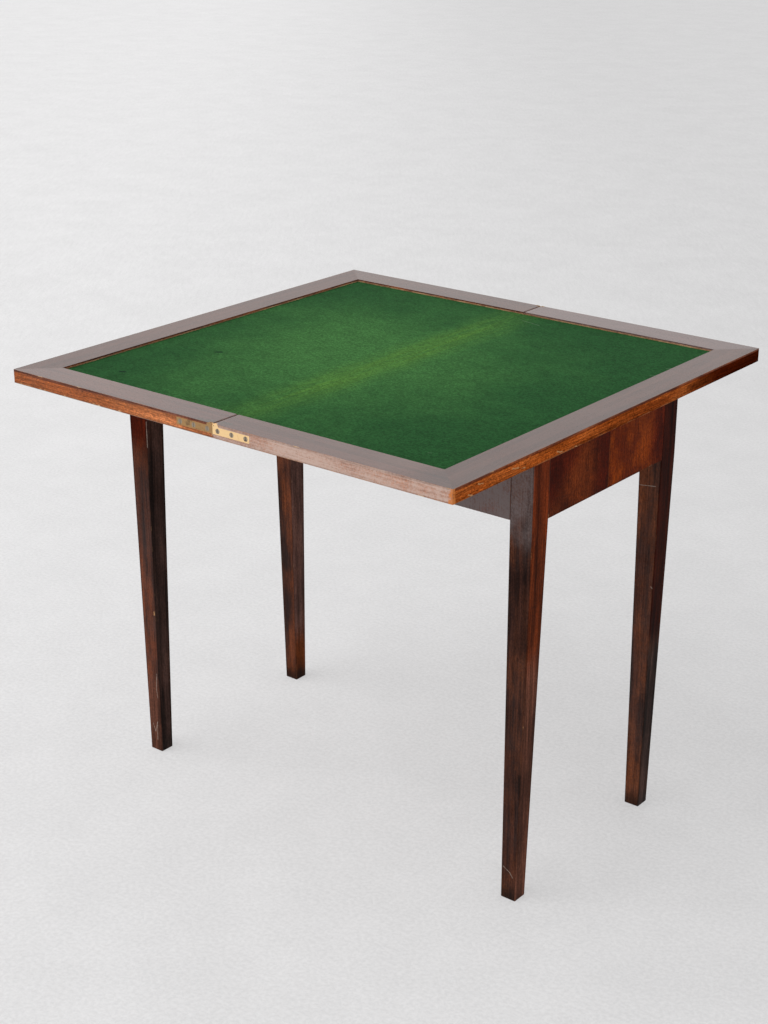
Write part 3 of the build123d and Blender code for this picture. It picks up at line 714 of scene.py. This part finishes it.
def dressLegs():
    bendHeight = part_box("apron_front")[0].z
    footHeight = 10.0 * mm
    for number, (depth, side) in enumerate((d, s) for d in ("front", "back") for s in ("left", "right")):
        node = f"leg_{depth}_{side}"
        points = np.array([v.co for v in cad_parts[node].data.vertices])
        centre, half = boxOf(node)
        top = levelBox(points[points[:, 2] > bendHeight], centre, half)
        foot = levelBox(points[points[:, 2] < footHeight], centre, half)
        wear(node, woodMaterial(node, woodLooks["leg"], alongZ, number + 1, top, foot, bendHeight))


def dressFrame():
    veneers = ("front", "back", "left_front", "left_back", "right_front", "right_back")
    plain = {"apron_front": alongX, "apron_back": alongX, "apron_left": alongY, "apron_right": alongY,
             "pivot_rail": alongY, "well_board": alongX, "well_partition": alongY, "well_ledgers": alongX,
             "stop_peg": alongZ}
    woods = [(f"veneer_{name}", "apron", alongZ) for name in veneers]
    woods += [(node, "plain", grain) for node, grain in plain.items()]
    for number, (node, look, grain) in enumerate(woods, start=10):
        wear(node, woodMaterial(node, woodLooks[look], grain, number))


def dressLeaves():
    number = 40
    for leaf in ("lower", "upper"):
        outer = boxOf(*[f"{leaf}_{kind}_{name}" for kind in ("banding", "lipping")
                        for name in ("long", "front", "back")])
        for name, grain in (("long", alongY), ("front", alongX), ("back", alongX)):
            for kind, look, upright in (("banding", "border", uprightBorder), ("lipping", "edge", None)):
                node = f"{leaf}_{kind}_{name}"
                wear(node, woodMaterial(node, woodLooks[look], grain, number, outer, upright=upright))
                number += 1
        wear(f"{leaf}_core", woodMaterial(f"{leaf}_core", woodLooks["plain"], alongY, number, outer))
    wear("upper_show_veneer", woodMaterial("upper_show_veneer", woodLooks["show"], alongY, number + 1))


dressLegs()
dressFrame()
dressLeaves()
print("woods done")


# Metals

metalLooks = {
    "brightBrass": {
        "clean": (1.0, 0.69, 0.345), "dull": (0.72, 0.42, 0.17), "share": 0.25,
        "roughness": 0.36, "metallic": 0.6, "pieces": ["lower_hinge_plate_front", "hinge_link_front"],
    },
    "dullBrass": {
        "clean": (0.42, 0.245, 0.100), "dull": (0.20, 0.115, 0.047), "share": 0.5,
        "roughness": 0.5, "metallic": 0.6,
        "pieces": ["lower_hinge_plate_back", "upper_hinge_plate_front", "upper_hinge_plate_back",
                   "hinge_link_back", "hinge_pins", "pivot_bush"],
    },
    "screwSteel": {
        "clean": (0.34, 0.28, 0.21), "dull": (0.085, 0.060, 0.042), "share": 0.5,
        "roughness": 0.42, "metallic": 0.7,
        "pieces": ["lower_hinge_screws", "upper_hinge_screws", "pivot_plate_screws"],
    },
    "pivotIron": {
        "clean": (0.17, 0.16, 0.15), "dull": (0.05, 0.032, 0.024), "share": 0.6,
        "roughness": 0.55, "metallic": 0.8,
        "pieces": ["pivot_plate", "pivot_bolt", "pivot_washer", "pivot_nut"],
    },
}

metalSettings = {
    "patches": (75.0, 4.0, 0.6), "tarnishRange": (0.68, 0.86), "shareShift": -0.4,
    "scuffScale": (4.0, 4.0, 4.0), "scratchShare": 0.5, "scratchShine": 1.25,
    "tarnishRough": 0.25, "tarnishDull": 0.35,
    "grit": (700.0, 3.0), "patchHeight": 2.0, "bump": 0.3, "bumpHeight": 0.05 * mm,
}


def metalMaterial(name, look, settings):
    # clean metal under a tarnish that gathers in patches, with fine rubbed lines
    material, tree, shader, place = newMaterial(name)
    scuffs = useGroup(tree, scuffGroup, {"place": vecCalc(tree, "MULTIPLY", place, settings["scuffScale"])})
    patches = noise(tree, place, *settings["patches"])
    tarnish = remap(tree, patches, *[end + settings["shareShift"] * look["share"]
                                     for end in settings["tarnishRange"]])
    colour = mixed(tree, tarnish, whole(look["clean"]), whole(look["dull"]))
    shine = tuple(min(1.0, settings["scratchShine"] * part) for part in look["clean"])
    colour = mixed(tree, times(tree, scuffs["scratch"], settings["scratchShare"]), colour, whole(shine))
    height = plus(tree, noise(tree, place, *settings["grit"]), times(tree, patches, settings["patchHeight"]))
    feed(tree, shader, {
        "Base Color": colour, "Normal": bumped(tree, height, settings),
        "Roughness": plus(tree, look["roughness"], times(tree, tarnish, settings["tarnishRough"])),
        "Metallic": minus(tree, look["metallic"], times(tree, tarnish, settings["tarnishDull"]))})
    return material


for name, look in metalLooks.items():
    metal = metalMaterial(name, look, metalSettings)
    for node in look["pieces"]:
        wear(node, metal)
print("metals done")


# Baize: one half on each leaf, meeting over the fold

baizeSettings = {
    "step": 4.0 * mm,                                  # grid spacing
    "foldRows": 10, "foldReach": 4.0 * mm,             # closer rows beside the fold
    "wave": 0.10 * mm, "waveLengths": (0.09, 0.035),   # slow unevenness of the glued cloth
    "edgeWander": 0.25 * mm, "edgeLengths": (0.03, 0.011),     # how the cut edge strays
    "edgeFade": 3, "foldCalm": 6,                      # steps over which both die away
    "blendReach": 3.0 * mm,                            # a reach of cloth on each leaf beside the fold
    "seed": 5,
    "deep": (0.0175, 0.084, 0.023), "green": (0.050, 0.166, 0.042), "faded": (0.086, 0.212, 0.033),
    "broad": (5.0, 5.0, 0.62), "nap": (240.0, 2.0), "napRange": (0.3, 0.7, 0.8, 1.2),
    "small": (34.0, 4.0, 0.65), "smallRange": (0.3, 0.7, 0.9, 1.09),
    "weave": ((420.0, 252.0, 420.0), 4.0, 0.75), "weaveRange": (0.3, 0.7, 0.68, 1.32),
    "streak": ((150.0, 7.0, 1.0), 4.0, 0.6), "streakRange": (0.3, 0.7, 0.4, 1.0),
    "paleCentre": (-0.075, -0.02, 0.735), "paleReach": (0.362, 0.42, 1.0), "paleRange": (1.15, 0.1),
    "paleStray": 1.1, "fadeShift": 0.004, "fadeReach": 0.065, "fadeStray": 0.05, "fadeShare": 0.9,
    "endsRange": (0.12, 0.38, 1.0, 0.4), "endsStray": 0.25,
    "fuzz": (3200.0, 2.0), "bump": 0.5, "bumpHeight": 0.25 * mm,
    "roughness": 0.95, "gloss": 0.03, "sheen": 0.03, "sheenRoughness": 0.4,
    "marks": [
        ("tear", "top", (0.157, 0.308), (0.166, 0.315), (0.1, 0.072), (0.109, 0.076)),
        ("fibre", "top", (0.528, 0.953), (0.583, 0.941)),
        # a crease drawn only as painted shade
        ("crease", "top", (0.66, 0.79), (0.69, 0.785), (0.72, 0.777), (0.735, 0.79)),
        ("fibre", "top", (0.983, 0.822), (0.99, 0.832), (0.982, 0.755), (0.99, 0.762),
         (0.914, 0.067), (0.919, 0.07)),
    ],
}


def slowNoise(x, y, seed, lengths):
    # sum of plane sine waves with seeded directions and phases, a few for each wave length
    waves = 4
    rng = np.random.default_rng(seed)
    total = np.zeros_like(x)
    for length in lengths:
        for _ in range(waves):
            angle, phase = rng.uniform(0, 2 * np.pi, 2)
            total += np.sin(2 * np.pi * (x * np.cos(angle) + y * np.sin(angle)) / length + phase)
    return total / (waves * len(lengths))


def gridFaces(rows, columns, offset=0, flip=False):
    # quads of a grid whose points run row by row
    i, j = np.meshgrid(np.arange(rows - 1), np.arange(columns - 1), indexing="ij")
    a = (i * columns + j).ravel() + offset
    quads = np.stack([a, a + 1, a + columns + 1, a + columns], axis=1)
    return quads[:, ::-1] if flip else quads


def meshObject(name, points, faces):
    mesh = bpy.data.meshes.new(name)
    mesh.from_pydata(points.tolist(), [], faces.tolist())
    mesh.polygons.foreach_set("use_smooth", [True] * len(mesh.polygons))
    mesh.update()
    item = bpy.data.objects.new(name, mesh)
    scene.collection.objects.link(item)
    return item


def baizeHalf(name, node, settings):
    # height = top of the node plus slow waves; the rim strays by slow noise; closed below
    low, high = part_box(node)
    side = 1.0 if high.x > 0 else -1.0
    reach = max(abs(low.x), abs(high.x))
    step, foldReach = settings["step"], settings["foldReach"]
    close = np.linspace(0.0, foldReach, settings["foldRows"], endpoint=False)
    far = np.linspace(foldReach, reach, int(reach / step))
    u = np.concatenate([close, far])
    v = np.linspace(low.y, high.y, int((high.y - low.y) / step))
    across, along = np.meshgrid(u, v, indexing="ij")
    x, y = side * across, along
    toRim = np.minimum(reach - across, high.y - np.abs(y))
    fade = np.exp(-toRim / (settings["edgeFade"] * step))
    stray = settings["edgeWander"] * slowNoise(x, y, settings["seed"], settings["edgeLengths"]) * fade
    x = x - side * np.abs(stray) * (across > foldReach)
    y = y - np.sign(y) * np.abs(stray) * (np.abs(y) > 0.5 * high.y)
    calm = 1 - np.exp(-across / (settings["foldCalm"] * step))
    wave = settings["wave"] * slowNoise(x, y, settings["seed"] + 1, settings["waveLengths"]) * calm
    top = np.stack([x, y, high.z - settings["wave"] + wave], axis=-1).reshape(-1, 3)
    bottom = top.copy()
    bottom[:, 2] = low.z
    rows, columns = len(u), len(v)
    count = rows * columns
    faces = [gridFaces(rows, columns, 0, side < 0), gridFaces(rows, columns, count, side > 0)]
    index = np.arange(count).reshape(rows, columns)
    for rim, turned in ((index[0], False), (index[-1], True), (index[:, 0], True), (index[:, -1], False)):
        wall = np.stack([rim[:-1], rim[1:], rim[1:] + count, rim[:-1] + count], axis=1)
        faces.append(wall[:, ::-1] if turned == (side > 0) else wall)
    piece = meshObject(name, np.concatenate([top, bottom]), np.concatenate(faces))
    return piece, (reach, high.y - low.y)


def makeBaizeMaterial(settings, box):
    # felted wool: deep green, paler in a wide ragged field over the fold, yellowed by light in
    # a narrow streaked band along it, with a fine nap and a few marks
    material, tree, shader, place = newMaterial("baizeCloth")
    sides = parts(tree, place)
    broad = minus(tree, noise(tree, place, *settings["broad"]), 0.5)
    weave = noise(tree, place, *settings["weave"])
    offset = vecCalc(tree, "SUBTRACT", place, settings["paleCentre"])
    field = vecCalc(tree, "LENGTH", vecCalc(tree, "DIVIDE", offset, settings["paleReach"]))
    pale = remap(tree, plus(tree, field, times(tree, broad, settings["paleStray"])), *settings["paleRange"])
    across = calc(tree, "ABSOLUTE", plus(tree, sides["X"], settings["fadeShift"]))
    stray = times(tree, broad, settings["fadeStray"])
    faded = remap(tree, plus(tree, across, stray), settings["fadeReach"], 0.0)
    faded = times(tree, faded, pattern(tree, place, settings, "streak"))
    ends = plus(tree, calc(tree, "ABSOLUTE", sides["Y"]), times(tree, broad, settings["endsStray"]))
    faded = times(tree, faded, remap(tree, ends, *settings["endsRange"]))
    colour = mixed(tree, pale, whole(settings["deep"]), whole(settings["green"]))
    colour = mixed(tree, times(tree, faded, settings["fadeShare"]), colour, whole(settings["faded"]))
    tone = times(tree, pattern(tree, place, settings, "small"), remap(tree, weave, *settings["weaveRange"]))
    tone = times(tree, tone, pattern(tree, place, settings, "nap"))
    colour = addMarks(tree, place, toned(tree, colour, tone), box, settings["marks"])
    height = plus(tree, weave, noise(tree, place, *settings["fuzz"]))
    feed(tree, shader, {
        "Base Color": colour, "Normal": bumped(tree, height, settings), "Roughness": settings["roughness"],
        "Specular IOR Level": settings["gloss"], "Sheen Weight": settings["sheen"],
        "Sheen Roughness": settings["sheenRoughness"]})
    return material


def layBaize(settings):
    cloth = makeBaizeMaterial(settings, boxOf("lower_baize", "upper_baize"))
    for leaf, side in (("lower", 1.0), ("upper", -1.0)):
        piece, flat = baizeHalf(f"{leaf}_baize_cloth", f"{leaf}_baize", settings)
        piece.data.materials.append(cloth)
        if leaf == "lower":
            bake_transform(piece)
        else:
            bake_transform(piece)
        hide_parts(f"{leaf}_baize")


layBaize(baizeSettings)
print("baize laid")


# Stage: a plain pale floor under soft light

stageSettings = {
    "floorColour": (0.80, 0.795, 0.80), "floorReach": 60.0, "floorRoughness": 0.8, "floorGloss": 0.1,
    "floorShown": (0.778, 0.773, 0.777), "shownShare": 0.58,          # seen directly or in a gloss
    "cloud": (5.0, 9.0, 0.72), "cloudRange": (0.3, 0.7, 0.97, 1.022),
    "thread": (150.0, 4.0, 0.75), "threadRange": (0.3, 0.7, 0.94, 1.06),
    "weave": (1.0, 3.0, 0.7), "weaveAlong": (-0.622, 0.783, 0.0), "weaveScale": (75.0, 12.0),
    "weaveRange": (1.5, 3.5, 0.0, 0.17),                               # only far from the object
    # painted light: the floor and the sky as seen grow brighter towards this side
    "brighterTowards": (-0.783, -0.622, 0.0), "brighterReach": 1.6, "brighterBy": 0.10,
    "skyShown": 0.75, "skyEdge": (-0.2, 0.2), "skyRange": (0.0, 0.9, 1.0, 0.45),
    "skyColour": (1.0, 1.0, 1.0),
    "keyStrength": 1.25, "keyTurn": (42.0, 0.0, -35.0), "keySoftness": 60.0,      # degrees
}


def seenRays(tree):
    rays = tree.nodes.new("ShaderNodeLightPath").outputs
    return calc(tree, "MAXIMUM", rays["Is Camera Ray"],
                calc(tree, "MAXIMUM", rays["Is Glossy Ray"], rays["Is Transmission Ray"]))


def makeFloor(settings):
    # a pale cloth ground: faint clouds and threads, and a painted light that makes it a little brighter
    # towards one side
    u = np.linspace(-settings["floorReach"], settings["floorReach"], 3)
    x, y = np.meshgrid(u, u, indexing="ij")
    points = np.stack([x, y, np.zeros_like(x)], axis=-1).reshape(-1, 3)
    floor = meshObject("floor", points, gridFaces(3, 3, 0, True))
    material, tree, shader, place = newMaterial("paleFloor")
    towards = vecCalc(tree, "DOT_PRODUCT", place, settings["brighterTowards"])
    along = vecCalc(tree, "DOT_PRODUCT", place, settings["weaveAlong"])
    turned = joined(tree, times(tree, towards, settings["weaveScale"][0]),
                    times(tree, along, settings["weaveScale"][1]), 0.0)
    weave = times(tree, minus(tree, noise(tree, turned, *settings["weave"]), 0.5),
                  remap(tree, vecCalc(tree, "LENGTH", place), *settings["weaveRange"]))
    side = remap(tree, calc(tree, "DIVIDE", towards, settings["brighterReach"]), -1.0, 1.0,
                 1 - settings["brighterBy"], 1 + settings["brighterBy"])
    threads = plus(tree, pattern(tree, place, settings, "thread"), weave)
    tone = times(tree, times(tree, pattern(tree, place, settings, "cloud"), threads), side)
    glow = put(tree, "ShaderNodeEmission", {"Color": toned(tree, whole(settings["floorShown"]), tone)})
    both = put(tree, "ShaderNodeMixShader", {0: times(tree, seenRays(tree), settings["shownShare"]),
                                             1: shader.outputs[0], 2: glow.outputs[0]})
    feed(tree, shader, {"Base Color": toned(tree, whole(settings["floorColour"]), tone),
                        "Roughness": settings["floorRoughness"],
                        "Specular IOR Level": settings["floorGloss"]})
    feed(tree, tree.nodes["Material Output"], {"Surface": both.outputs[0]})
    floor.data.materials.append(material)


def makeLight(settings):
    # a white sky that is weaker high up, shown to the camera with a painted light that makes it a little
    # brighter towards one side, and a soft sun
    world = bpy.data.worlds.new("sky")
    scene.world = world
    world.use_nodes = True
    tree = world.node_tree
    direction = tree.nodes.new("ShaderNodeTexCoord").outputs["Generated"]
    light = remap(tree, parts(tree, direction)["Z"], *settings["skyRange"])
    towards = vecCalc(tree, "DOT_PRODUCT", direction, settings["brighterTowards"])
    shown = remap(tree, towards, *settings["skyEdge"], settings["skyShown"] * (1 - settings["brighterBy"]),
                  settings["skyShown"] * (1 + settings["brighterBy"]))
    feed(tree, tree.nodes["Background"], {"Color": whole(settings["skyColour"]),
                                          "Strength": mixed(tree, seenRays(tree), light, shown, "FLOAT")})
    data = bpy.data.lights.new("keyLight", "SUN")
    data.energy = settings["keyStrength"]
    data.angle = math.radians(settings["keySoftness"])
    key = bpy.data.objects.new("keyLight", data)
    key.rotation_euler = radiansOf(settings["keyTurn"])
    scene.collection.objects.link(key)


makeFloor(stageSettings)
makeLight(stageSettings)
print("stage set")
